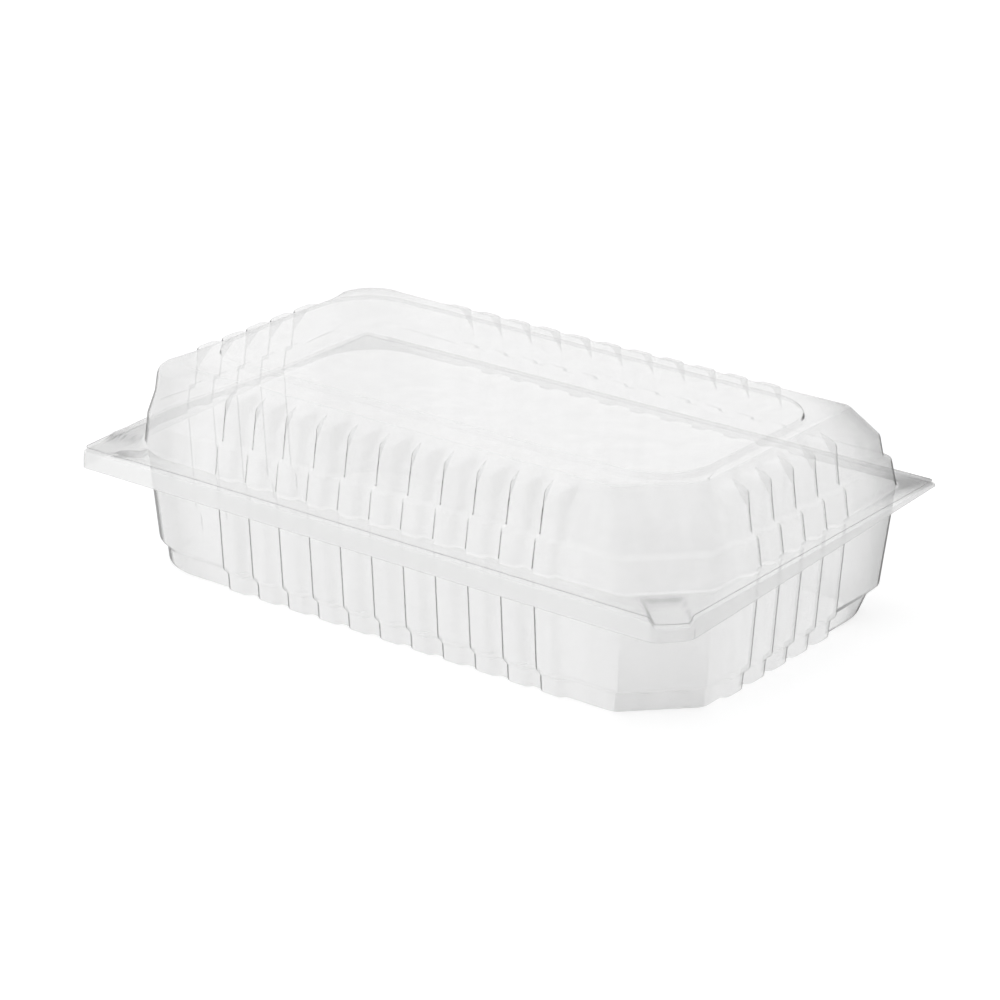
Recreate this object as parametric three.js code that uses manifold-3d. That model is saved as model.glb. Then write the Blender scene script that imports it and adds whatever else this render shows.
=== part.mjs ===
// Hinged clear food pack: a ribbed tray and a ribbed domed lid, thermoformed from one thin sheet.
// Millimetres, +Z up. The origin is on the resting plane, under the middle of the rim.
// -Y is the opening side and the lid turns about the long rim edge at +Y.
import * as THREE from 'three';
import Module from 'manifold-3d';

// ---- driving dimensions ----
const sheet = 0.5;                 // wall thickness of the formed sheet
const bodyHalf = [110.8, 63.7];    // wall between the ribs, at the rim: half length, half width
const rimHalf = [117.0, 72.9];     // flange edge: half length, half width
const rimTop = 42.0;               // top face of the tray's flange
const rimGap = 0.35;               // clearance between tray flange and lid flange

const ribPitch = { long: 12.6, short: 12.3 };
const ribCount = { long: 11, short: 5 };
const ribFoot = 4.0;               // half width of a rib where it leaves the wall
const ribCrest = 3.0;              // half width of a rib's flat crest
const ribRise = 2.3;               // how far a crest stands out from the wall

const frontRightCut = 19.7;        // size of the flat cut across the front right corner
const leftRadius = 20;             // radius of the two left corners
const backRightRadius = 6;
const cutEase = 2.0;               // softening of the two ends of the flat cut
const rimCut = 7.9;                // flat cut of the rim at the front right
const rimRadius = 2.0;             // the rim's other corners

const skirtFront = 6.7;            // drop of the tray's down-turned lip along the opening side
const skirtBack = 1.2;             // the same at the hinge side
const skirtFlare = 0.3;

const floorRaise = 1.5;            // cross-shaped middle of the floor, above the four corner pads
const crossHalf = [94, 49];        // reach of the cross arms
const crossArm = [56, 17.5];       // half widths of the arms
const crossRounding = 9;
const islandSlope = 1.1;           // width of the sloping edge around the cross and the lid panel

const panelHalf = [95.5, 42.5];    // raised middle panel of the lid
const panelRadius = 20;
const lidTop = 69.9;
const panelTop = 71.9;

const notchWidth = 10.4;           // opening notch pressed across each front corner of the rim
const notchDepth = 2.1;
const notchLength = 13.6;          // from the middle of the rim's corner inwards, along the notch floor
const notchSide = 0.5;             // slope of its side walls, run for rise
const notchEnd = 1.6;              // slope of its inner end wall
const notchOverrun = 8;            // how far the cutting shape runs out past the corner

const wasm = await Module();
wasm.setup();

// ---- plan outlines ----

const pointsPerCorner = 6;
const pointsPerPanelCorner = 8;
const pointsPerCrossCorner = 5;

// The corner at the end of the front side, before it is turned into place. `corner` is its sharp tip.
// A flat cut takes `size` off both sides and has softened ends. A round corner has radius `size`.
function cornerPoints(corner, size, flat) {
  if (!flat) {
    const arc = new THREE.EllipseCurve(corner.x - size, corner.y + size, size, size, -Math.PI / 2, 0);
    return arc.getPoints(pointsPerCorner - 1);
  }
  const along = new THREE.Vector2(1, 0);
  const across = new THREE.Vector2(1, 1).normalize();
  const upwards = new THREE.Vector2(0, 1);
  const ease = (vertex, arriving, leaving) => new THREE.QuadraticBezierCurve(
    vertex.clone().addScaledVector(arriving, -cutEase),
    vertex,
    vertex.clone().addScaledVector(leaving, cutEase)).getPoints(pointsPerCorner / 2 - 1);
  return [
    ...ease(new THREE.Vector2(corner.x - size, corner.y), along, across),
    ...ease(new THREE.Vector2(corner.x, corner.y + size), across, upwards),
  ];
}

// One side of the outline in its own frame: ribs along +X, outwards is -Y.
function ribbedSide(count, pitch, rise) {
  const points = [];
  for (let i = 0; i < count; i++) {
    const middle = (i - (count - 1) / 2) * pitch;
    points.push(new THREE.Vector2(middle - ribFoot, 0), new THREE.Vector2(middle - ribCrest, -rise));
    points.push(new THREE.Vector2(middle + ribCrest, -rise), new THREE.Vector2(middle + ribFoot, 0));
  }
  return points;
}

// The closed plan outline, anticlockwise from the front side, with `rise` high ribs on all sides.
// `corners` gives the sizes of the front right, back right, back left and front left corners.
function outline(half, corners, rise) {
  const points = [];
  corners.forEach((size, side) => {
    const lengthways = side % 2 === 0;
    const [reach, away] = lengthways ? half : [half[1], half[0]];
    const run = lengthways ? 'long' : 'short';
    const ribs = ribbedSide(ribCount[run], ribPitch[run], rise).map((rib) => rib.add({ x: 0, y: -away }));
    const corner = cornerPoints(new THREE.Vector2(reach, -away), size, side === 0);
    for (const point of [...ribs, ...corner]) {
      points.push(point.rotateAround({ x: 0, y: 0 }, side * Math.PI / 2));
    }
  });
  return points;
}

function rimOutline(out) {
  const half = rimHalf.map((reach) => reach + out);
  return outline(half, [rimCut, rimRadius, rimRadius, rimRadius], 0);
}

function roundedRectangle(half, radius) {
  const points = [];
  for (let corner = 0; corner < 4; corner++) {
    const sx = corner === 0 || corner === 3 ? 1 : -1;
    const sy = corner < 2 ? 1 : -1;
    const middle = [sx * (half[0] - radius), sy * (half[1] - radius)];
    const start = corner * Math.PI / 2;
    const arc = new THREE.EllipseCurve(...middle, radius, radius, start, start + Math.PI / 2);
    points.push(...arc.getPoints(pointsPerPanelCorner - 1));
  }
  return points;
}

// A plus-shaped outline whose twelve corners are all rounded.
function crossOutline() {
  const [reachX, reachY] = crossHalf;
  const [armX, armY] = crossArm;
  const quarter = [[reachX, armY], [armX, armY], [armX, reachY]];
  const corners = [
    ...quarter,
    ...quarter.map(([x, y]) => [-x, y]).reverse(),
    ...quarter.map(([x, y]) => [-x, -y]),
    ...quarter.map(([x, y]) => [x, -y]).reverse(),
  ].map(([x, y]) => new THREE.Vector2(x, y));
  const count = corners.length;
  return corners.flatMap((corner, k) => {
    const before = corners[(k + count - 1) % count];
    const after = corners[(k + 1) % count];
    const start = corner.clone().lerp(before, crossRounding / corner.distanceTo(before));
    const end = corner.clone().lerp(after, crossRounding / corner.distanceTo(after));
    return new THREE.QuadraticBezierCurve(start, corner, end).getPoints(pointsPerCrossCorner - 1);
  });
}

// Moves an anticlockwise outline outwards by `out`, each vertex along its mitre.
function offsetOutline(points, out) {
  const count = points.length;
  return points.map((point, k) => {
    const before = point.clone().sub(points[(k + count - 1) % count]).normalize();
    const after = points[(k + 1) % count].clone().sub(point).normalize();
    const normal = new THREE.Vector2(before.y + after.y, -before.x - after.x);
    return point.clone().addScaledVector(normal, out / (1 + before.dot(after)));
  });
}

// ---- closed sheets ----

// Collects indexed triangles. A ring is a list of vertex numbers.
class MeshBuilder {
  constructor() {
    this.vertices = [];
    this.triangles = [];
  }

  ring(points, height) {
    return points.map((point) => {
      const z = typeof height === 'function' ? height(point) : height;
      return this.vertices.push(point.x, point.y, z) / 3 - 1;
    });
  }

  band(from, to) {
    from.forEach((a, k) => {
      const next = (k + 1) % from.length;
      this.triangles.push(a, from[next], to[next], a, to[next], to[k]);
    });
  }

  // Fills a level ring, around an optional inner ring. `up` says which way the face looks.
  cap(ring, hole, up) {
    const plan = (v) => new THREE.Vector2(this.vertices[3 * v], this.vertices[3 * v + 1]);
    const flat = (numbers) => numbers.map(plan);
    const all = [...ring, ...hole];
    const faces = THREE.ShapeUtils.triangulateShape(flat(ring), hole.length ? [flat(hole)] : []);
    const corners = faces.map((face) => face.map((i) => all[i]));
    const area = corners.reduce((sum, face) => sum + THREE.ShapeUtils.area(flat(face)), 0);
    for (const face of corners) {
      this.triangles.push(...(area > 0 === up ? face : face.reverse()));
    }
  }

  solid() {
    return new wasm.Manifold(new wasm.Mesh({
      numProp: 3,
      vertProperties: new Float32Array(this.vertices),
      triVerts: new Uint32Array(this.triangles),
    }));
  }
}

// How far each level moves so that a sheet of even thickness follows the whole section.
function sheetOffsets(levels, side) {
  const direction = (a, b) => new THREE.Vector2(b.out - a.out, b.z - a.z).normalize();
  return levels.map((level, k) => {
    const before = k > 0 ? direction(levels[k - 1], level) : new THREE.Vector2(1, 0);
    const after = k < levels.length - 1 ? direction(level, levels[k + 1]) : before;
    const normal = new THREE.Vector2(-before.y - after.y, before.x + after.x);
    return normal.multiplyScalar(side * sheet / (1 + before.dot(after)));
  });
}

// A thin formed sheet. It starts at a raised island in the middle and follows `levels` out to its edge.
// `side` is +1 when the second face lies above the first one, and -1 when it lies below.
function formedSheet(island, levels, side) {
  const mesh = new MeshBuilder();
  const offsets = sheetOffsets(levels, side);
  const faces = [0, 1].map((second) => {
    const shift = second * side * sheet;
    const upper = mesh.ring(offsetOutline(island.outline, -islandSlope), island.z + shift);
    const lower = mesh.ring(island.outline, levels[0].z + shift);
    const rings = levels.map((level, k) => {
      const outwards = second * offsets[k].x;
      const rise = second * offsets[k].y;
      const z = level.height ? (point) => level.height(point) : level.z + rise;
      return mesh.ring(offsetOutline(level.outline, outwards), z);
    });
    return { upper, lower, rings };
  });
  const [first, second] = faces;
  const topFirst = side < 0;
  const join = (from, to) => (topFirst ? mesh.band(to, from) : mesh.band(from, to));
  mesh.cap(first.upper, [], topFirst);
  join(first.upper, first.lower);
  mesh.cap(first.rings[0], first.lower, topFirst);
  for (let k = 1; k < levels.length; k++) {
    join(first.rings[k - 1], first.rings[k]);
    join(second.rings[k], second.rings[k - 1]);
  }
  join(first.rings.at(-1), second.rings.at(-1));
  mesh.cap(second.rings[0], second.lower, !topFirst);
  join(second.lower, second.upper);
  mesh.cap(second.upper, [], !topFirst);
  return mesh.solid();
}

// A straight-sided solid between two level outlines with the same number of points.
function loft(bottom, bottomZ, top, topZ) {
  const mesh = new MeshBuilder();
  const lower = mesh.ring(bottom, bottomZ);
  const upper = mesh.ring(top, topZ);
  mesh.cap(lower, [], false);
  mesh.band(lower, upper);
  mesh.cap(upper, [], true);
  return mesh.solid();
}

// A level of a sheet: how far out of the rim-height wall line it lies, its height, the rise of its ribs,
// and how much its round corners shrink or grow.
function level(out, z, rise, roundness = [1, 1]) {
  const half = bodyHalf.map((reach) => reach + out);
  const left = leftRadius * roundness[0];
  const corners = [frontRightCut, backRightRadius * roundness[1], left, left];
  return { out, z, outline: outline(half, corners, rise) };
}

// ---- tray ----

const flangeUnder = rimTop - sheet;
const flangeReach = 6.5;

function skirtEdge(point) {
  const forward = (rimHalf[1] - point.y) / (2 * rimHalf[1]);
  return rimTop - THREE.MathUtils.lerp(skirtBack, skirtFront, THREE.MathUtils.clamp(forward, 0, 1));
}

const trayLevels = [
  level(-6.2, 0, 1.7, [1, 2.4]),
  level(-5.4, 1.2, ribRise, [1, 2.2]),
  level(-5.0, 6.8, ribRise, [1, 1.2]),
  level(-2.7, 9.1, ribRise, [1.1, 1]),
  level(-0.5, flangeUnder, ribRise, [1.1, 0.7]),
  { out: flangeReach, z: flangeUnder, outline: rimOutline(0) },
  {
    out: flangeReach + skirtFlare,
    z: rimTop - skirtFront,
    outline: rimOutline(skirtFlare),
    height: skirtEdge,
  },
];

const trayShell = formedSheet({ outline: crossOutline(), z: floorRaise }, trayLevels, 1);

// ---- lid ----

const lidFlange = rimTop + rimGap + sheet;
const lidRimInset = -0.2;

// Above the upper wall the sheet leans in to the top, and the ribs stand out of that slope like buttresses.
const lidLevels = [
  level(-12.3, lidTop, 0, [0.6, 0.5]),
  level(-11.0, 68.2, 0.2, [0.6, 0.5]),
  level(-10.8, 67.9, 5.3, [0.6, 0.5]),
  level(-10.3, 67.2, 6.3, [0.6, 0.5]),
  level(-9.4, 66.0, 6.3, [0.6, 0.5]),
  level(-4.9, 60.0, ribRise, [0.7, 0.6]),
  level(-3.8, 52.7, ribRise, [0.8, 0.6]),
  level(-1.5, 52.1, ribRise, [1.1, 0.9]),
  level(0, lidFlange, ribRise, [1.1, 0.9]),
  { out: flangeReach, z: lidFlange, outline: rimOutline(lidRimInset) },
];

const lidPanel = roundedRectangle(panelHalf, panelRadius);
const lidShell = formedSheet({ outline: lidPanel, z: panelTop }, lidLevels, -1);

// ---- opening notches in the two front corners of the rim ----

// A channel that runs out past a front corner, `side` +1 at the right and -1 at the left.
// It is `spare` wider all round than the lid's own notch, and reaches from `floor` up to `top`.
function notchTool(side, floor, top, spare) {
  const middle = new THREE.Vector2(
    side * (rimHalf[0] - rimCut / 2),
    -(rimHalf[1] - rimCut / 2));
  const footprint = (height) => {
    const across = notchWidth / 2 + spare + notchSide * height;
    const inwards = notchLength + spare + notchEnd * height;
    const outwards = -notchOverrun;
    const corners = [[-across, outwards], [across, outwards], [across, inwards], [-across, inwards]];
    return corners.map(([x, y]) => new THREE.Vector2(x, y)
      .rotateAround(new THREE.Vector2(), side * Math.PI / 4)
      .add(middle));
  };
  return loft(footprint(0), floor, footprint(top - floor), top);
}

// Presses both notches into a flange: adds their floors and walls, then clears the channels.
function pressNotches(solid, flangeTop, depth, spare, edge) {
  let result = solid;
  for (const side of [-1, 1]) {
    const floor = flangeTop - depth;
    const skin = notchTool(side, floor - sheet, flangeTop, spare + sheet);
    const column = loft(edge, floor - 2 * sheet, edge, flangeTop);
    const channel = notchTool(side, floor, flangeTop + sheet, spare);
    result = result.add(skin.intersect(column)).subtract(channel);
  }
  return result;
}

const lidEdge = rimOutline(lidRimInset);
const lidSolid = pressNotches(lidShell, lidFlange, notchDepth, 0, lidEdge);

const trayEdge = rimOutline(sheet / 2);
const traySolid = pressNotches(trayShell, rimTop, notchDepth, sheet + rimGap, trayEdge);

// ---- scene graph ----

function toGeometry(solid) {
  const { vertProperties, triVerts } = solid.getMesh();
  const geometry = new THREE.BufferGeometry();
  geometry.setAttribute('position', new THREE.BufferAttribute(vertProperties, 3));
  geometry.setIndex(new THREE.BufferAttribute(triVerts, 1));
  const faceted = geometry.toNonIndexed();
  faceted.computeVertexNormals();
  return faceted;
}

function piece(name, solid, color) {
  const material = new THREE.MeshStandardMaterial({
    color, roughness: 0.08, metalness: 0, transparent: true, opacity: 0.35,
  });
  const mesh = new THREE.Mesh(toGeometry(solid), material);
  mesh.name = name;
  return mesh;
}

const hinge = new THREE.Vector3(0, rimHalf[1] + sheet, rimTop + rimGap / 2);

const tray = piece('tray', traySolid, 0xeff2f3);
const lid = piece('lid', lidSolid.translate(-hinge.x, -hinge.y, -hinge.z), 0xf3f6f7);

const lidGroup = new THREE.Group();
lidGroup.position.copy(hinge);
lidGroup.add(lid);

const container = new THREE.Group();
container.add(tray, lidGroup);

export default container;
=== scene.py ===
import math
from collections import namedtuple

import bmesh
import bpy
from mathutils import Matrix, Vector
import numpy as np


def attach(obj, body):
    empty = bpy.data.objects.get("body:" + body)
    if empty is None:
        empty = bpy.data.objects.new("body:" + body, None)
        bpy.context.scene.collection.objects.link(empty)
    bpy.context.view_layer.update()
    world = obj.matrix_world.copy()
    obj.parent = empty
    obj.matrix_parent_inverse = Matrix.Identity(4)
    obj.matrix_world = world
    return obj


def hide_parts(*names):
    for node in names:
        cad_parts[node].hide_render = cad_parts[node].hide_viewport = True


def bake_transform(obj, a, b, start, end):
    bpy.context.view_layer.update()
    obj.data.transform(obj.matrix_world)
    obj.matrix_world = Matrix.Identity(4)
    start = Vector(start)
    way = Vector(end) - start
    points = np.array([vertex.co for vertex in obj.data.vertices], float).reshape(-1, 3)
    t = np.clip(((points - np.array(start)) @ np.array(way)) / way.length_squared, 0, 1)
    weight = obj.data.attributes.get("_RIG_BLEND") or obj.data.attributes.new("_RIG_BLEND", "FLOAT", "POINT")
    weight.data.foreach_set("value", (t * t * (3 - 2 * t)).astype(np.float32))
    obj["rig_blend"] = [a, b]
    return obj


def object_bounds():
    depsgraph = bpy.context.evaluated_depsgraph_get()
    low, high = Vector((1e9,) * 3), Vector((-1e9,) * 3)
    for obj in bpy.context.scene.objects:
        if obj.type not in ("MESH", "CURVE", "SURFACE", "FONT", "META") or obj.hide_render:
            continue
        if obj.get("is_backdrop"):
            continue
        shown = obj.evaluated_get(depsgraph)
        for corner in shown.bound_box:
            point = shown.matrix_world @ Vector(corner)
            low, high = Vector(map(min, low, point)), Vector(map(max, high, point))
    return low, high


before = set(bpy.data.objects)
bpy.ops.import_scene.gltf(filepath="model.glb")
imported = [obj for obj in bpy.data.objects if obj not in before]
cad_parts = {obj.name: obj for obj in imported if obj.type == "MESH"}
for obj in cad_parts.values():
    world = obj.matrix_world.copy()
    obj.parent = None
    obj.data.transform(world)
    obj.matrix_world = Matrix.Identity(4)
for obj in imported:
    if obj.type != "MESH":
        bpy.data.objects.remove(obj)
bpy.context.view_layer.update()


# ---------------------------------------------------------------------------
# Tray. The lower half of the pack: a clear PET sheet drawn by heat and vacuum
# into a ribbed box. It stands on four pads around a raised cross, has a stacking
# ledge above its foot, and ends in a flat rim with a turned-down lip.
# ---------------------------------------------------------------------------

MM = 0.001
SHEET = 0.25

RIB_PITCH = {"long": 12.6, "short": 12.3}
RIB_COUNT = {"long": 11, "short": 5}
RIB_FLANK = (2.4, 4.8)      # half widths of a rib at its crest and at its foot
CREST_ROUNDING = 0.5        # share of the flank's width taken by the rounding at its crest
FOOT_ROUNDING = 0.15
FLANK_STOPS = (0.0, 0.12, 0.24, 0.36, 0.5, 0.68, 0.85, 0.93, 1.0)

BODY = (110.8, 63.7)        # half sizes of the wall between the ribs, at the height of the rim
RIM = (117.0, 72.9)         # half sizes of the rim
RIM_TOP = 42.0
FRONT_RIGHT_CUT = 19.7
LEFT_RADIUS = 20.0
BACK_RIGHT_RADIUS = 6.0
RIM_CUT = 7.9
RIM_RADIUS = 1.6
CORNER_STOPS = 24
CUT_EASE = 2.4              # how far from its ends a flat cut is eased into the walls
CUT_EASE_SHARE = 0.35       # the most of a small cut's size that the easing takes
SIDE_EASE = 0.4             # gap left between the outermost rib and the corner


def smooth_step(low, high, value):
    share = min(max((value - low) / (high - low), 0.0), 1.0)
    return share * share * (3 - 2 * share)


def mix(a, b, share):
    return a + (b - a) * share


def flank_rise(share):
    """Share of a rib's rise that is left at this share of its flank, from the crest to the foot."""
    slope = 1 / (1 - CREST_ROUNDING / 2 - FOOT_ROUNDING / 2)
    if share < CREST_ROUNDING:
        return 1 - slope * share * share / (2 * CREST_ROUNDING)
    if share < 1 - FOOT_ROUNDING:
        return 1 - slope * (share - CREST_ROUNDING / 2)
    return slope * (1 - share) ** 2 / (2 * FOOT_ROUNDING)


def ribbed_side(run, reach):
    """Stops along one side, from its left end to its right end, with the share of a rib's rise at each."""
    right_flank = [(mix(*RIB_FLANK, share), flank_rise(share)) for share in FLANK_STOPS]
    left_flank = [(-offset, rise) for offset, rise in reversed(right_flank)]
    stops = []
    for number in range(RIB_COUNT[run]):
        middle = (number - (RIB_COUNT[run] - 1) / 2) * RIB_PITCH[run]
        stops += [(middle + offset, rise) for offset, rise in left_flank + right_flank]
    widest = stops[-1][0]
    squeeze = min(1.0, reach / widest)
    return [(place * squeeze, share) for place, share in stops]


def quadratic(start, control, end, share):
    return start.lerp(control, share).lerp(control.lerp(end, share), share)


def corner_stops(tip, size, flat, swell):
    """A corner of the front side's right end: round with that radius, or a flat cut with softened ends."""
    if not flat:
        centre = tip + Vector((-size, size))
        turns = [-math.pi / 2 + math.pi / 2 * i / (CORNER_STOPS - 1) for i in range(CORNER_STOPS)]
        return [centre + (size + swell) * Vector((math.cos(turn), math.sin(turn))) for turn in turns]
    soft = min(CUT_EASE, size * CUT_EASE_SHARE)
    across = Vector((1, 1)).normalized()
    first = tip + Vector((-size, 0))
    last = tip + Vector((0, size))
    cut_start = first + across * soft
    cut_end = last - across * soft
    third = CORNER_STOPS // 3
    easing = [i / (third - 1) for i in range(third)]
    points = [quadratic(first - Vector((soft, 0)), first, cut_start, share) for share in easing]
    points += [cut_start.lerp(cut_end, (i + 1) / (third + 1)) for i in range(third)]
    points += [quadratic(cut_end, last, last + Vector((0, soft)), share) for share in easing]
    return points


def outline(half, corners, rise, flat=(True, False, False, False), swell=0.0):
    """The plan outline, anticlockwise from the front side. The corners are in the order front right, back
    right, back left and front left. The two left ones stand out from the wall by `swell`."""
    points = []
    for side, size in enumerate(corners):
        lengthways = side % 2 == 0
        reach, away = half if lengthways else (half[1], half[0])
        before = corners[side - 1]
        straight = reach - max(size, before) - SIDE_EASE
        turn = Matrix.Rotation(side * math.pi / 2, 2)
        for place, share in ribbed_side("long" if lengthways else "short", straight):
            points.append(turn @ Vector((place, -away - rise * share)))
        for point in corner_stops(Vector((reach, -away)), size, flat[side], swell if side > 1 else 0):
            points.append(turn @ point)
    return points


# One closed line round the sheet, with how strongly its fold gets a painted highlight there, how strongly
# its ribs' flanks and its corners show as painted dark lines, how much painted shade its corners get, and
# how much more single places get.
Ring = namedtuple("Ring", "points fold ribs corners drawn further", defaults=(None,))

RIB_FULL = 2.0              # a rib that stands out this far shows in full
RIB_TOP = (65.8, 67.4)      # heights between which a rib's painted dark line gives way to its lighter top
RIB_TOP_SHOWS = -1.8        # there it is painted lighter than the wall, not darker
BODY_CORNERS = 0.5          # how strongly the wall's corners show as painted dark lines
CUT_PAINTED_SHADE = 0.55             # painted shade at the tray's flat cut, growing down towards the foot
CUT_MARGIN = 0.5            # a place this near to the cut's line counts as on it


def body_ring(out, z, rise, left, swell, back_right, fold):
    """One level of a ribbed wall. `out` is its distance from the wall line at the rim, and `left` and
    `back_right` are shares of those corners' radii."""
    half = (BODY[0] + out, BODY[1] + out)
    corners = (FRONT_RIGHT_CUT, BACK_RIGHT_RADIUS * back_right, LEFT_RADIUS * left, LEFT_RADIUS * left)
    points = [Vector((p.x, p.y, z)) for p in outline(half, corners, rise, swell=swell)]
    ribs = min(rise / RIB_FULL, 1.0) * mix(1.0, RIB_TOP_SHOWS, smooth_step(*RIB_TOP, z))
    cut_line = sum(half) - FRONT_RIGHT_CUT - CUT_MARGIN
    downward = max(1 - z / RIM_TOP, 0.0)
    cut_painted_shade = [CUT_PAINTED_SHADE * downward if p.x - p.y > cut_line else 0.0 for p in points]
    return Ring(points, fold, ribs, BODY_CORNERS, 1.0, cut_painted_shade)


def rim_ring(out, height, fold=0.0, corners=0.0):
    """One line round the rim, this far out from its edge. `height` gives the height at each place."""
    half = (RIM[0] + out, RIM[1] + out)
    points = outline(half, (RIM_CUT, RIM_RADIUS, RIM_RADIUS, RIM_RADIUS), 0)
    return Ring([Vector((p.x, p.y, height(p))) for p in points], fold, 0.0, corners, 1.0)


# For the front right, back right, back left and front left corner: how much painted shade it gets, and
# how strongly the corner shows as a painted dark line.
CORNER_PAINTED_SHADE = (0.55, 1.4, 0.8, 0.8)
CORNER_BEND = (1.0, 2.6, 0.3, 0.3)


STEEP_STARTS = (0.02, 0.12)  # shares of a rib's flank, from its crest, between which it turns steep
STEEP_ENDS = (0.5, 0.8)


def flank_mark(share):
    """How much this stop of a rib's flank belongs to the steep part of it."""
    return smooth_step(*STEEP_STARTS, share) * (1 - smooth_step(*STEEP_ENDS, share))


def bend_marks():
    """For each stop of an outline, in order: its share in a rib's flank and in a corner, and its painted
    shade.
    """
    one_flank = [flank_mark(share) for share in FLANK_STOPS]
    third = CORNER_STOPS // 3
    eased_end = [math.sin(math.pi * i / (third - 1)) for i in range(third)]
    cut_corner = eased_end + [0.0] * third + eased_end
    round_corner = [math.sin(math.pi * i / (CORNER_STOPS - 1)) for i in range(CORNER_STOPS)]
    marks = []
    for side in range(4):
        ribs = RIB_COUNT["long" if side % 2 == 0 else "short"]
        marks += [(mark, 0.0, 0.0) for mark in (one_flank[::-1] + one_flank) * ribs]
        corner = cut_corner if side == 0 else round_corner
        marks += [(0.0, mark * CORNER_BEND[side], CORNER_PAINTED_SHADE[side]) for mark in corner]
    return marks


MOST_OF_WALL = 0.4          # the most of a stretch of wall that the rounding of one fold takes


def level_towards(here, other, reach):
    """The level `reach` mm on the way to the other one."""
    distance = math.hypot(other[0] - here[0], other[1] - here[1])
    share = min(reach / distance, MOST_OF_WALL)
    return [mix(a, b, share) for a, b in zip(here[:-1], other)]


def soften(levels, reach):
    """Rounds each fold of a wall section: every inner level becomes three, up to `reach` mm from it."""
    softened = [levels[0]]
    for before, here, after in zip(levels, levels[1:], levels[2:]):
        start = level_towards(here, before, reach)
        end = level_towards(here, after, reach)
        middle = [mix(mix(a, c, 0.5), b, 0.5) for a, b, c in zip(start, here, end)]
        softened += [(*start, 0.0), (*middle, here[-1]), (*end, 0.0)]
    return softened + [levels[-1]]


NOTCH_WIDTH = 10.4
NOTCH_DEPTH = 2.1
NOTCH_LENGTH = 13.6
NOTCH_WALL = 1.3            # width of the sloped walls at its sides
NOTCH_END = 3.4             # length of the slope at its inner end
NOTCH_PAINTED_SHADE = 2.6            # painted shade in those slopes


def notch_share(point):
    """The share of the opening notch's depth at this place of the rim. Each front corner has one notch."""
    side = 1 if point.x > 0 else -1
    middle = Vector((side * (RIM[0] - RIM_CUT / 2), -(RIM[1] - RIM_CUT / 2)))
    inward = Vector((-side, 1)).normalized()
    step = Vector((point.x, point.y)) - middle
    along = step.dot(inward)
    across = abs(step.x * inward.y - step.y * inward.x)
    half = NOTCH_WIDTH / 2
    past_side = smooth_step(half, half + NOTCH_WALL, across)
    past_end = smooth_step(NOTCH_LENGTH, NOTCH_LENGTH + NOTCH_END, along)
    return (1 - past_side) * (1 - past_end)


RIM_WARP = 1.8              # how far the rim's front left tip has curled up as the sheet cooled
WARP_ENDWAYS = (98, 117)    # distances to the left of the middle between which the curl grows
WARP_BACKWAYS = (-40, 30)   # places from front to back between which it dies away


def warp(point):
    """Height that the curled tip adds at this place of the rim."""
    return RIM_WARP * smooth_step(*WARP_ENDWAYS, -point.x) * (1 - smooth_step(*WARP_BACKWAYS, point.y))


FLANGE_STOPS = (0.03, 0.1, 0.18, 0.27, 0.36, 0.45, 0.54, 0.63, 0.72, 0.81, 0.9, 0.97, 1.0)
FLANGE_PAINTED_SHADE = 1.3           # how much more painted shade the rim's corners get than the wall's
NOTCH_STARTS = (0.0, 0.12)  # shares of the rim's width over which a notch reaches its depth
WARP_STARTS = (0.0, 0.4)


def flange_rings(wall, edge):
    """The flat rim, from the top of the wall out to its edge, with both notches pressed into it."""
    rings = []
    for share in FLANGE_STOPS:
        points = []
        notch_painted_shade = []
        for inner, outer in zip(wall.points, edge.points):
            point = inner.lerp(outer, share)
            pressed = notch_share(point)
            point.z -= NOTCH_DEPTH * pressed * smooth_step(*NOTCH_STARTS, share)
            point.z += warp(point) * smooth_step(*WARP_STARTS, share)
            points.append(point)
            notch_painted_shade.append(NOTCH_PAINTED_SHADE * pressed * (1 - pressed))
        rings.append(Ring(points, 0.0, 0.0, 0.0, FLANGE_PAINTED_SHADE, notch_painted_shade))
    return rings


MOST_BEND = 1.6             # the most that a rib and a corner together show as a painted dark line


def drawn_sheet(rings):
    """The face of a formed sheet, pulled out ring by ring from its middle to its edge. The middle stays
    open, and the loop round it is given too."""
    bm = bmesh.new()
    place = bm.verts.layers.int.new("place")
    fold = bm.verts.layers.float.new("fold")
    bend = bm.verts.layers.float.new("bend")
    drawn = bm.verts.layers.float.new("drawn")
    marks = bend_marks()
    bmesh.ops.create_circle(bm, segments=len(marks), cap_ends=False)
    for number, vert in enumerate(bm.verts):
        vert[place] = number
        vert.co = rings[0].points[number] * MM
    inner_loop = list(bm.edges)
    loop = inner_loop
    for ring in rings[1:]:
        pulled = bmesh.ops.extrude_edge_only(bm, edges=loop)["geom"]
        fresh = {item for item in pulled if isinstance(item, bmesh.types.BMVert)}
        for vert in fresh:
            vert.co = ring.points[vert[place]] * MM
            vert[fold] = ring.fold
            rib_mark, corner_mark, painted_shade_mark = marks[vert[place]]
            vert[bend] = min(ring.ribs * rib_mark + ring.corners * corner_mark, MOST_BEND)
            vert[drawn] = ring.drawn * painted_shade_mark + (ring.further[vert[place]] if ring.further else 0)
        edges = [item for item in pulled if isinstance(item, bmesh.types.BMEdge)]
        loop = [edge for edge in edges if fresh.issuperset(edge.verts)]
    return bm, inner_loop


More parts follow.
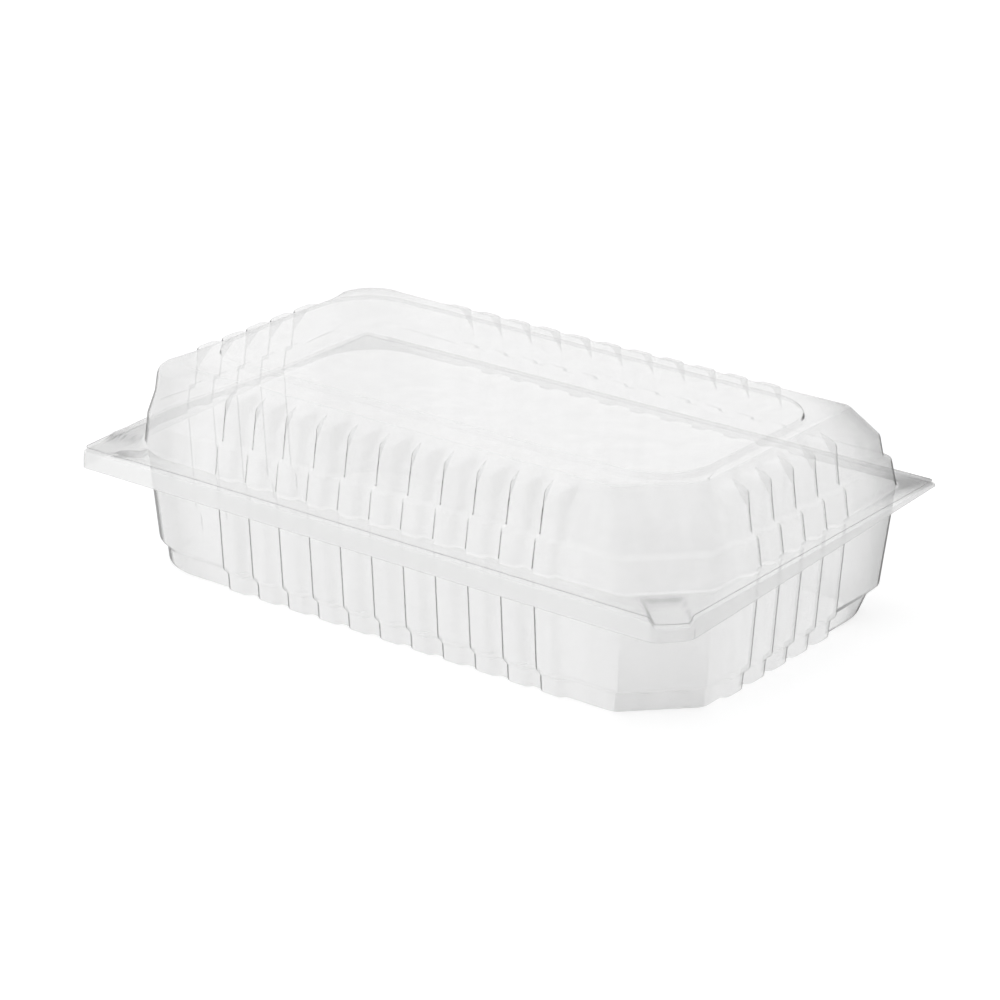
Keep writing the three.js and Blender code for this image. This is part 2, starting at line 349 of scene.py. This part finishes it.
def sheet_object(name, bm, thickness, outer_is_up):
    """Turns the formed face the right way out and gives it the sheet's thickness. Its cut edge is slot 2."""
    bmesh.ops.recalc_face_normals(bm, faces=bm.faces)
    middle = min(bm.faces, key=lambda face: face.calc_center_median().xy.length)
    if (middle.normal.z > 0) != outer_is_up:
        bmesh.ops.reverse_faces(bm, faces=bm.faces)
    mesh = bpy.data.meshes.new(name)
    bm.to_mesh(mesh)
    bm.free()
    mesh.shade_smooth()
    sheet = bpy.data.objects.new(name, mesh)
    bpy.context.scene.collection.objects.link(sheet)
    wall = sheet.modifiers.new("wall", "SOLIDIFY")
    wall.thickness = thickness * MM
    wall.offset = -1
    wall.material_offset = 1
    wall.material_offset_rim = 2
    return sheet


SKIRT_FRONT = 6.7
SKIRT_BACK = 1.2


def skirt_edge(point):
    """Height of the lip's lower edge. The lip hangs low at the opening side and is shallow at the hinge."""
    forward = (RIM[1] - point.y) / (2 * RIM[1])
    return RIM_TOP - mix(SKIRT_BACK, SKIRT_FRONT, min(max(forward, 0), 1))


FLANGE_DROP = 0.5           # how far the underside of the flange lies under the top of the rim
FOLD_REACH = 0.7            # how far the rounding of a fold reaches
# Share of the way down the lip, how far out, and how strongly the fold gets a painted highlight.
HEM_STOPS = ((0.04, 0.2, 1.0), (0.12, 0.3, 0.9), (0.5, 0.38, 0.9), (0.94, 0.46, 0.9), (1.0, 0.48, 1.0))
HEM_CORNERS = 3.5           # how strongly the lip's tight corners show as painted dark lines

flange_under = RIM_TOP - FLANGE_DROP
# Out from the wall line, height, rise of the ribs, left corners' share of their radius, their swell,
# back right corner's share, and how strongly the fold gets a painted highlight.
tray_levels = soften([
    (-7.6, 0.0, 1.5, 1.0, 0.0, 2.4, 0.0),
    (-6.2, 0.0, 1.7, 1.0, 0.0, 2.4, 0.6),
    (-5.4, 1.2, 2.3, 1.0, 0.0, 2.2, 0.5),
    (-5.0, 6.8, 2.3, 1.0, 0.0, 1.2, 0.55),
    (-2.7, 9.1, 2.3, 1.1, 0.0, 1.0, 0.55),
    (-0.5, flange_under, 2.3, 1.1, 0.0, 0.7, 0.4),
    (0.0, flange_under, 2.1, 1.1, 0.0, 0.7, 0.0),
], FOLD_REACH)
tray_rings = [body_ring(*level) for level in tray_levels]
tray_edge = rim_ring(0, lambda point: flange_under)
tray_rings += flange_rings(tray_rings[-1], tray_edge)
flange_end = tray_rings[-1]
for share, out, fold in HEM_STOPS:
    hem = rim_ring(out, skirt_edge, fold, corners=HEM_CORNERS)
    for top, low in zip(flange_end.points, hem.points):
        low.z = mix(top.z, low.z, share)
    tray_rings.append(hem)

CROSS_REACH = (94, 49)
CROSS_ARM = (56, 17.5)
CROSS_ROUNDING = 9
# Its slope, in steps: width, lift, and how strongly the fold gets a painted highlight.
CROSS_SLOPE = ((0.3, 0.12, 0.5), (0.5, 0.5, 0.0), (0.5, 0.5, 0.0), (0.3, 0.3, 1.0), (0.6, 0.08, 0.0))


def raised_cross(bm):
    """The raised middle of the floor: a cross with rounded corners, with a soft slope around it."""
    fold = bm.verts.layers.float["fold"]
    cross = bmesh.ops.create_circle(bm, segments=12, cap_ends=True)["verts"]
    quarter = [(CROSS_REACH[0], CROSS_ARM[1]), (CROSS_ARM[0], CROSS_ARM[1]), (CROSS_ARM[0], CROSS_REACH[1])]
    signs = ((1, 1, 1), (-1, 1, -1), (-1, -1, 1), (1, -1, -1))
    tips = [Vector((x * sx, y * sy, 0)) * MM for sx, sy, way in signs for x, y in quarter[::way]]
    for vert, tip in zip(cross, tips):
        vert.co = tip
    bmesh.ops.bevel(
        bm, geom=cross, offset=CROSS_ROUNDING * MM, offset_type="OFFSET", segments=7, profile=0.5,
        affect="VERTICES", material=-1)
    face = max(bm.faces, key=lambda face: len(face.verts))
    outline_edges = list(face.edges)
    for width, lift, crease in CROSS_SLOPE:
        bmesh.ops.inset_region(bm, faces=[face], thickness=width * MM, depth=0, use_even_offset=True)
        for vert in face.verts:
            vert.co.z += lift * MM
            vert[fold] = crease
    return outline_edges


bm, inner_loop = drawn_sheet(tray_rings)
bmesh.ops.triangle_fill(bm, use_beauty=True, edges=inner_loop + raised_cross(bm), normal=(0, 0, 1))
tray = sheet_object("tray_sheet", bm, SHEET, outer_is_up=False)
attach(tray, "tray")
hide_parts("tray")


def maths(tree, operation, *values):
    """A Math node. Each value is a plain number or an output that is linked in."""
    node = tree.nodes.new("ShaderNodeMath")
    node.operation = operation
    for socket, value in zip(node.inputs, values):
        if isinstance(value, bpy.types.NodeSocket):
            tree.links.new(value, socket)
        else:
            socket.default_value = value
    return node.outputs[0]


def tone_mix(tree, low, high, share):
    """A colour between two greys or colour outputs."""
    node = tree.nodes.new("ShaderNodeMix")
    node.data_type = "RGBA"
    for socket, value in zip((node.inputs["A"], node.inputs["B"]), (low, high)):
        if isinstance(value, bpy.types.NodeSocket):
            tree.links.new(value, socket)
        else:
            socket.default_value = (value, value, value, 1)
    tree.links.new(share, node.inputs["Factor"])
    return node.outputs["Result"]


def drawn_pet():
    """What drawing leaves in the sheet: soft waves, upright streaks of uneven thickness and a fine haze."""
    group = bpy.data.node_groups.new("drawn_pet", "ShaderNodeTree")
    group.interface.new_socket("Wave density", in_out="INPUT", socket_type="NodeSocketFloat")
    group.interface.new_socket("Streak density", in_out="INPUT", socket_type="NodeSocketFloat")
    for name in ("Waves", "Streaks", "Haze"):
        group.interface.new_socket(name, in_out="OUTPUT", socket_type="NodeSocketFloat")
    nodes, links = group.nodes, group.links
    entry = nodes.new("NodeGroupInput")
    exit_node = nodes.new("NodeGroupOutput")
    place = nodes.new("ShaderNodeTexCoord").outputs["Object"]
    upright = nodes.new("ShaderNodeVectorMath")
    upright.operation = "MULTIPLY"
    upright.inputs[1].default_value = (1, 1, 0.12)
    links.new(place, upright.inputs[0])
    for name, source, scale, detail in (
            ("Waves", place, entry.outputs["Wave density"], 1.5),
            ("Streaks", upright.outputs[0], entry.outputs["Streak density"], 2.0),
            ("Haze", place, 38.0, 3.0)):
        noise = nodes.new("ShaderNodeTexNoise")
        noise.inputs["Detail"].default_value = detail
        noise.inputs["Roughness"].default_value = 0.45
        links.new(source, noise.inputs["Vector"])
        if isinstance(scale, bpy.types.NodeSocket):
            links.new(scale, noise.inputs["Scale"])
        else:
            noise.inputs["Scale"].default_value = scale
        links.new(noise.outputs["Fac"], exit_node.inputs[name])
    return group


drawn_pet_group = drawn_pet()

PAST_ONE_FACE = 0.15        # share of a fine feature that still shows behind one more face


def seen_share(tree, depth):
    """How much of a fine feature still shows behind this many faces. Both faces of the nearest sheet are
    seen in full."""
    fading = maths(tree, "POWER", PAST_ONE_FACE, depth)
    return maths(tree, "MINIMUM", maths(tree, "MULTIPLY", fading, 1 / PAST_ONE_FACE), 1.0)


PET_IOR = 1.57
PET_ROUGHNESS = 0.1
HAZE_ROUGHNESS = 0.08       # how much rougher it is where the haze is thickest
STREAK_SHARE = 0.3          # how uneven the streaks make the haze
LEAN_FADE = 1.6             # how fast a face that leans loses the painted dark line at its rib or corner
PET_SHADOW = 0.3            # share of its haze with which the sheet holds back a lamp's light
PAINTED_SHADE_HAZE = 0.06           # how much more haze the painted shade adds at a corner
PAINTED_SHADE_DARK = 0.3            # how far the painted shade takes a corner towards the dark tone
HAZE_BEHIND = 0.35          # share of the haze that still shows behind other sheets
BEND_SLANT = 0.32           # how much a rib's flank or a corner adds to the slant of the view, for the painted dark line
FLAT_FACE_PAINTED_SHADE = 0.8            # painted shade: the darker tone given to faces that lie flat


def clear_pet(name, haze, line_front, line_back, fold, body, dark, wave_density):
    """Clear glossy PET: a thin even haze, a painted dark reflection where the sheet is seen edge-on, and a
    painted highlight at its folds (at the hinge, the crease's whitened film).
    """
    material = bpy.data.materials.new(name)
    material.use_nodes = True
    tree = material.node_tree
    nodes, links = tree.nodes, tree.links
    shader = nodes["Principled BSDF"]
    shader.inputs["IOR"].default_value = PET_IOR

    sheet = nodes.new("ShaderNodeGroup")
    sheet.node_tree = drawn_pet_group
    sheet.inputs["Wave density"].default_value = wave_density
    sheet.inputs["Streak density"].default_value = 170
    bump = nodes.new("ShaderNodeBump")
    bump.inputs["Strength"].default_value = 0.14
    bump.inputs["Distance"].default_value = 0.0006
    links.new(sheet.outputs["Waves"], bump.inputs["Height"])
    links.new(bump.outputs["Normal"], shader.inputs["Normal"])
    roughness = maths(tree, "MULTIPLY_ADD", sheet.outputs["Haze"], HAZE_ROUGHNESS, PET_ROUGHNESS)
    links.new(roughness, shader.inputs["Roughness"])

    bend = nodes.new("ShaderNodeAttribute")
    bend.attribute_name = "bend"
    own_normal = nodes.new("ShaderNodeSeparateXYZ")
    links.new(nodes.new("ShaderNodeTexCoord").outputs["Normal"], own_normal.inputs[0])
    level = maths(tree, "ABSOLUTE", own_normal.outputs["Z"])
    upright = maths(tree, "SUBTRACT", 1.0, maths(tree, "MULTIPLY", level, LEAN_FADE))
    upright_bend = maths(tree, "MULTIPLY", bend.outputs["Fac"], maths(tree, "MAXIMUM", upright, 0.0))
    # Painted dark reflection: where the sheet is seen edge-on, or at marked ribs and corners, it is made
    # dark and solid.
    angle = nodes.new("ShaderNodeLayerWeight")
    angle.inputs["Blend"].default_value = 0.5
    slant = maths(tree, "MULTIPLY_ADD", upright_bend, BEND_SLANT, angle.outputs["Facing"])
    edge_on = nodes.new("ShaderNodeMapRange")
    edge_on.interpolation_type = "SMOOTHSTEP"
    edge_on.inputs["From Min"].default_value = 0.72
    edge_on.inputs["From Max"].default_value = 0.95
    links.new(slant, edge_on.inputs["Value"])
    lying = nodes.new("ShaderNodeMapRange")
    lying.interpolation_type = "SMOOTHSTEP"
    lying.inputs["From Min"].default_value = 0.45
    lying.inputs["From Max"].default_value = 0.68
    lying.inputs["To Min"].default_value = 1.0
    lying.inputs["To Max"].default_value = 0.08
    links.new(level, lying.inputs["Value"])
    along = maths(tree, "MULTIPLY", edge_on.outputs["Result"], lying.outputs["Result"])
    behind = nodes.new("ShaderNodeNewGeometry").outputs["Backfacing"]
    line_cover = maths(tree, "MULTIPLY_ADD", behind, line_back - line_front, line_front)
    path = nodes.new("ShaderNodeLightPath")
    seen_through = seen_share(tree, path.outputs["Transparent Depth"])
    line = maths(tree, "MULTIPLY", maths(tree, "MULTIPLY", along, line_cover), seen_through)

    # Painted highlight: the folds are made whiter and more solid. At the hinge this stands for the crease's
    # whitened film.
    crease = nodes.new("ShaderNodeAttribute")
    crease.attribute_name = "fold"
    at_fold = maths(tree, "POWER", crease.outputs["Fac"], 2.0)

    # Painted shade: this mark darkens and hazes the corners, the flat cut, the notches' slopes and the lip.
    draw = nodes.new("ShaderNodeAttribute")
    draw.attribute_name = "drawn"
    painted_shade_strength = maths(tree, "POWER", draw.outputs["Fac"], 2.0)
    even_haze = haze * (1 - STREAK_SHARE / 2)
    streaked = maths(tree, "MULTIPLY_ADD", sheet.outputs["Streaks"], haze * STREAK_SHARE, even_haze)
    solid = maths(tree, "MULTIPLY_ADD", painted_shade_strength, PAINTED_SHADE_HAZE, streaked)
    haze_share = maths(tree, "MULTIPLY_ADD", seen_through, 1 - HAZE_BEHIND, HAZE_BEHIND)
    solid = maths(tree, "MULTIPLY", solid, haze_share)
    solid = maths(tree, "ADD", solid, line)
    solid = maths(tree, "MULTIPLY_ADD", maths(tree, "MULTIPLY", at_fold, seen_through), fold, solid)
    let_through = maths(tree, "MULTIPLY_ADD", path.outputs["Is Shadow Ray"], PET_SHADOW - 1, 1.0)
    links.new(maths(tree, "MULTIPLY", solid, let_through), shader.inputs["Alpha"])

    body_tone = tone_mix(tree, body, FLAT_FACE_PAINTED_SHADE, level)
    body_tone = tone_mix(tree, body_tone, dark, maths(tree, "MULTIPLY", painted_shade_strength, PAINTED_SHADE_DARK))
    tone = tone_mix(tree, body_tone, dark, along)
    links.new(tone_mix(tree, tone, 1.0, at_fold), shader.inputs["Base Color"])
    return material


def cut_edge(name, low, high, cover):
    """The sheet's cut edge. It shows as a fine line, painted with the light that runs in the sheet and
    scatters out of it.
    """
    material = bpy.data.materials.new(name)
    material.use_nodes = True
    tree = material.node_tree
    shader = tree.nodes["Principled BSDF"]
    shader.inputs["IOR"].default_value = PET_IOR
    shader.inputs["Roughness"].default_value = 0.35
    depth = tree.nodes.new("ShaderNodeLightPath").outputs["Transparent Depth"]
    tree.links.new(maths(tree, "MULTIPLY", seen_share(tree, depth), cover), shader.inputs["Alpha"])
    sheet = tree.nodes.new("ShaderNodeGroup")
    sheet.node_tree = drawn_pet_group
    sheet.inputs["Wave density"].default_value = 120
    sheet.inputs["Streak density"].default_value = 400
    tree.links.new(tone_mix(tree, low, high, sheet.outputs["Waves"]), shader.inputs["Base Color"])
    return material


tray.data.materials.append(clear_pet(
    "tray_outer_face", haze=0.25, line_front=0.95, line_back=0.3, fold=0.16, body=0.82, dark=0.06,
    wave_density=26))
tray.data.materials.append(clear_pet(
    "tray_inner_face", haze=0.13, line_front=0.3, line_back=0.95, fold=0.08, body=0.82, dark=0.06,
    wave_density=31))
tray.data.materials.append(cut_edge("tray_cut_edge", 0.45, 0.8, 0.45))


# ---------------------------------------------------------------------------
# Lid. The upper half, drawn from the same sheet: a low upright band above the rim,
# a ribbed wall, a slope that leans in to the top between the ribs, and a raised
# middle panel that stiffens the top.
# ---------------------------------------------------------------------------

RIM_GAP = 0.35
LID_RIM = 0.5               # height of the lid's rim above that gap
LID_FLANGE = RIM_TOP + RIM_GAP + LID_RIM
LID_FOLD_REACH = 0.6
LID_RIM_INSET = 0.2         # the lid's rim ends just inside the tray's lip
PANEL = (95.5, 42.5)
PANEL_RADIUS = 20.0
PANEL_CORNERS = 0.9         # how strongly its corners show as painted dark lines
PANEL_TOP = 71.9
LID_TOP = 69.9


def panel_ring(out, z, fold=0.0):
    half = (PANEL[0] + out, PANEL[1] + out)
    points = outline(half, (PANEL_RADIUS + out,) * 4, 0, flat=(False,) * 4)
    return Ring([Vector((p.x, p.y, z)) for p in points], fold, 0.0, PANEL_CORNERS, 0.0)


panel_rings = [
    panel_ring(-2.6, PANEL_TOP),
    panel_ring(-1.5, PANEL_TOP),
    panel_ring(-1.0, PANEL_TOP - 0.15, 0.6),
    panel_ring(-0.7, PANEL_TOP - 0.6),
    panel_ring(-0.5, LID_TOP + 0.6),
    panel_ring(-0.2, LID_TOP + 0.15, 0.5),
    panel_ring(0.5, LID_TOP),
]
lid_levels = soften([
    (-13.3, 69.9, 0.0, 0.55, 0.0, 0.5, 0.0),
    (-12.3, 69.9, 0.0, 0.55, 0.0, 0.5, 0.6),
    (-11.0, 68.2, 0.8, 0.50, 3.0, 0.5, 0.2),
    (-10.8, 67.9, 4.4, 0.44, 3.8, 0.5, 0.0),
    (-10.3, 67.2, 5.9, 0.42, 3.8, 0.5, 0.2),
    (-9.4, 66.0, 6.3, 0.42, 3.0, 0.5, 0.0),
    (-4.9, 60.0, 2.3, 0.60, -1.0, 0.6, 0.0),
    (-3.8, 52.7, 2.3, 0.75, 1.2, 0.6, 0.35),
    (-1.5, 52.1, 2.3, 1.1, 1.0, 0.9, 0.45),
    (0.0, LID_FLANGE, 2.3, 1.1, 0.0, 0.9, 0.5),
    (0.5, LID_FLANGE, 2.1, 1.1, 0.0, 0.9, 0.0),
], LID_FOLD_REACH)
lid_rings = panel_rings + [body_ring(*level) for level in lid_levels]
lid_edge = rim_ring(-LID_RIM_INSET, lambda point: LID_FLANGE)
lid_rings += flange_rings(lid_rings[-1], lid_edge)
bm, inner_loop = drawn_sheet(lid_rings)
bmesh.ops.contextual_create(bm, geom=inner_loop)
lid = sheet_object("lid_sheet", bm, SHEET, outer_is_up=True)
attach(lid, "lid")
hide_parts("lid")
lid.data.materials.append(clear_pet(
    "lid_outer_face", haze=0.25, line_front=0.95, line_back=0.3, fold=0.16, body=0.82, dark=0.06,
    wave_density=22))
lid.data.materials.append(clear_pet(
    "lid_inner_face", haze=0.13, line_front=0.3, line_back=0.95, fold=0.08, body=0.82, dark=0.06,
    wave_density=27))
# The lid's cut edge is given a dark tone, a painted shade along the rim's front.
lid.data.materials.append(cut_edge("lid_cut_edge", 0.2, 0.4, 0.6))


# ---------------------------------------------------------------------------
# Hinge strip. Tray and lid are drawn from one sheet, and the film left between their
# rims at the back is folded over on itself. It is thinner than the rest, and its
# crease has turned white.
# ---------------------------------------------------------------------------

HINGE_LENGTH = 216
HINGE_FILM = 0.12
HINGE_FOLD = 0.55           # radius of the fold
HINGE_LIP = 0.6             # how far the film runs on along each rim
HINGE_MIDDLE = (0, 73.0, 42.175)
HINGE_TURN_LINE = 73.4
HINGE_TURNS = (41.8, 42.55)  # heights between which the film takes up the lid's turn
SAME_HEIGHT = 1e-6


def at_height(edge, height):
    return all(abs(vert.co.z - height) < SAME_HEIGHT for vert in edge.verts)


bm = bmesh.new()
crease = bm.verts.layers.float.new("fold")
bm.verts.layers.float.new("bend")
fold_middle = Vector(HINGE_MIDDLE)
fold_top = fold_middle + Vector((0, 0, HINGE_FOLD))
ends = [bm.verts.new((fold_top + Vector((side * HINGE_LENGTH / 2, 0, 0))) * MM) for side in (-1, 1)]
start = bm.edges.new(ends)
bmesh.ops.subdivide_edges(bm, edges=[start], cuts=23)
bmesh.ops.spin(
    bm, geom=list(bm.verts) + list(bm.edges), cent=fold_middle * MM, axis=(1, 0, 0), angle=-math.pi,
    steps=12)
for side in (1, -1):
    lip_height = (fold_middle.z + side * HINGE_FOLD) * MM
    lip = [edge for edge in bm.edges if edge.is_boundary and at_height(edge, lip_height)]
    pulled = bmesh.ops.extrude_edge_only(bm, edges=lip)["geom"]
    lip_end = [item for item in pulled if isinstance(item, bmesh.types.BMVert)]
    bmesh.ops.translate(bm, verts=lip_end, vec=(0, -HINGE_LIP * MM, 0))
for vert in bm.verts:
    vert[crease] = max(1 - abs(vert.co.z / MM - HINGE_MIDDLE[2]) / HINGE_FOLD, 0)
bmesh.ops.recalc_face_normals(bm, faces=bm.faces)
hinge_mesh = bpy.data.meshes.new("hinge_strip")
bm.to_mesh(hinge_mesh)
bm.free()
hinge_mesh.shade_smooth()
hinge = bpy.data.objects.new("hinge_strip", hinge_mesh)
bpy.context.scene.collection.objects.link(hinge)
film = hinge.modifiers.new("film", "SOLIDIFY")
film.thickness = HINGE_FILM * MM
film.offset = -1
turn_start, turn_end = [(0, HINGE_TURN_LINE * MM, height * MM) for height in HINGE_TURNS]
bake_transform(hinge, "tray", "lid", start=turn_start, end=turn_end)
hinge_mesh.materials.append(clear_pet(
    "hinge_film", haze=0.3, line_front=0.8, line_back=0.3, fold=0.35, body=0.95, dark=0.2, wave_density=40))


# ---------------------------------------------------------------------------
# Floor, backdrop and light. A seamless white floor under a soft overhead lamp, with
# soft lamps at the left and in front, so that the right end falls into shade.
# ---------------------------------------------------------------------------

FLOOR_HALF = 4.0
FLOOR_GAP = 0.0004          # the floor lies just under the pads

bm = bmesh.new()
bmesh.ops.create_grid(bm, x_segments=1, y_segments=1, size=FLOOR_HALF)
floor_mesh = bpy.data.meshes.new("floor")
bm.to_mesh(floor_mesh)
bm.free()
floor = bpy.data.objects.new("floor", floor_mesh)
floor.location.z = -FLOOR_GAP
bpy.context.scene.collection.objects.link(floor)
floor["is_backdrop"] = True

white = bpy.data.materials.new("white_floor")
white.use_nodes = True
nodes, links = white.node_tree.nodes, white.node_tree.links
surface = nodes["Principled BSDF"]
surface.inputs["Base Color"].default_value = (0.82, 0.82, 0.82, 1)
surface.inputs["Roughness"].default_value = 0.9
seen = nodes.new("ShaderNodeLightPath")
glow = nodes.new("ShaderNodeEmission")
place = nodes.new("ShaderNodeTexCoord")
distance = nodes.new("ShaderNodeVectorMath")
distance.operation = "LENGTH"
links.new(place.outputs["Object"], distance.inputs[0])
# The floor glows for the camera so that it shows white. The glow is weaker near the pack, a painted shade
# round it.
reach = nodes.new("ShaderNodeMapRange")
reach.interpolation_type = "SMOOTHSTEP"
reach.inputs["From Min"].default_value = 0.15
reach.inputs["From Max"].default_value = 0.9
reach.inputs["To Min"].default_value = 0.45
reach.inputs["To Max"].default_value = 0.6
links.new(distance.outputs["Value"], reach.inputs["Value"])
direct = nodes.new("ShaderNodeMath")
direct.operation = "MULTIPLY"
links.new(seen.outputs["Is Camera Ray"], direct.inputs[0])
links.new(reach.outputs["Result"], direct.inputs[1])
links.new(direct.outputs[0], glow.inputs["Strength"])
both = nodes.new("ShaderNodeAddShader")
links.new(surface.outputs[0], both.inputs[0])
links.new(glow.outputs[0], both.inputs[1])
links.new(both.outputs[0], nodes["Material Output"].inputs["Surface"])
floor_mesh.materials.append(white)

world = bpy.data.worlds.new("studio")
bpy.context.scene.world = world
world.use_nodes = True
nodes, links = world.node_tree.nodes, world.node_tree.links
sky = nodes["Background"]
sky.inputs["Color"].default_value = (1, 1, 1, 1)
seen = nodes.new("ShaderNodeLightPath")
direct = nodes.new("ShaderNodeMath")
direct.operation = "MAXIMUM"
links.new(seen.outputs["Is Camera Ray"], direct.inputs[0])
links.new(seen.outputs["Is Transmission Ray"], direct.inputs[1])
towards = nodes.new("ShaderNodeSeparateXYZ")
links.new(nodes.new("ShaderNodeTexCoord").outputs["Generated"], towards.inputs[0])
room = nodes.new("ShaderNodeMapRange")
room.inputs["From Min"].default_value = -1
room.inputs["To Min"].default_value = 1.0
room.inputs["To Max"].default_value = 0.3
links.new(towards.outputs["X"], room.inputs["Value"])
brightness = maths(world.node_tree, "MAXIMUM", room.outputs["Result"], direct.outputs[0])
links.new(brightness, sky.inputs["Strength"])


def soft_lamp(name, place, target, size, power):
    data = bpy.data.lights.new(name, "AREA")
    data.shape = "RECTANGLE"
    data.size, data.size_y = size
    data.energy = power
    lamp = bpy.data.objects.new(name, data)
    lamp.location = place
    aim = Vector(target) - Vector(place)
    lamp.rotation_euler = aim.to_track_quat("-Z", "Y").to_euler()
    bpy.context.scene.collection.objects.link(lamp)


soft_lamp("overhead", (0.0, 0.1, 1.2), (0, 0, 0), (1.2, 0.8), 1.6)
soft_lamp("left", (-1.1, -0.6, 0.7), (0, 0, 0.03), (0.7, 0.9), 1.4)
soft_lamp("front", (-0.5, -1.3, 0.7), (0, 0, 0.03), (1.0, 0.8), 1.0)


# ---------------------------------------------------------------------------
# Camera. It faces the front right corner from a little above the lid, with a long
# lens, so that the pack's long edges run nearly side by side.
# ---------------------------------------------------------------------------

CAMERA_PLACE = (0.6107, -0.8107, 0.4365)
AZIMUTH = math.radians(37.07)
ELEVATION = math.radians(21.84)
ROLL = math.radians(0.42)
level_forward = Vector((-math.sin(AZIMUTH), math.cos(AZIMUTH), 0))
forward = math.cos(ELEVATION) * level_forward - math.sin(ELEVATION) * Vector((0, 0, 1))
level_right = Vector((math.cos(AZIMUTH), math.sin(AZIMUTH), 0))
level_up = level_right.cross(forward)
right = math.cos(ROLL) * level_right + math.sin(ROLL) * level_up
up = -math.sin(ROLL) * level_right + math.cos(ROLL) * level_up
camera_data = bpy.data.cameras.new("camera")
camera_data.sensor_width = 36
camera_data.lens = 121.5
camera_data.clip_start = 0.05
camera_data.clip_end = 20
camera = bpy.data.objects.new("camera", camera_data)
bpy.context.scene.collection.objects.link(camera)
turn = Matrix((right, up, -forward)).transposed().to_4x4()
camera.matrix_world = Matrix.Translation(CAMERA_PLACE) @ turn
bpy.context.scene.camera = camera
bpy.context.scene.view_settings.view_transform = "Standard"
bpy.context.scene.cycles.transparent_max_bounces = 40   # a line of sight can pass through that many faces

low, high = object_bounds()
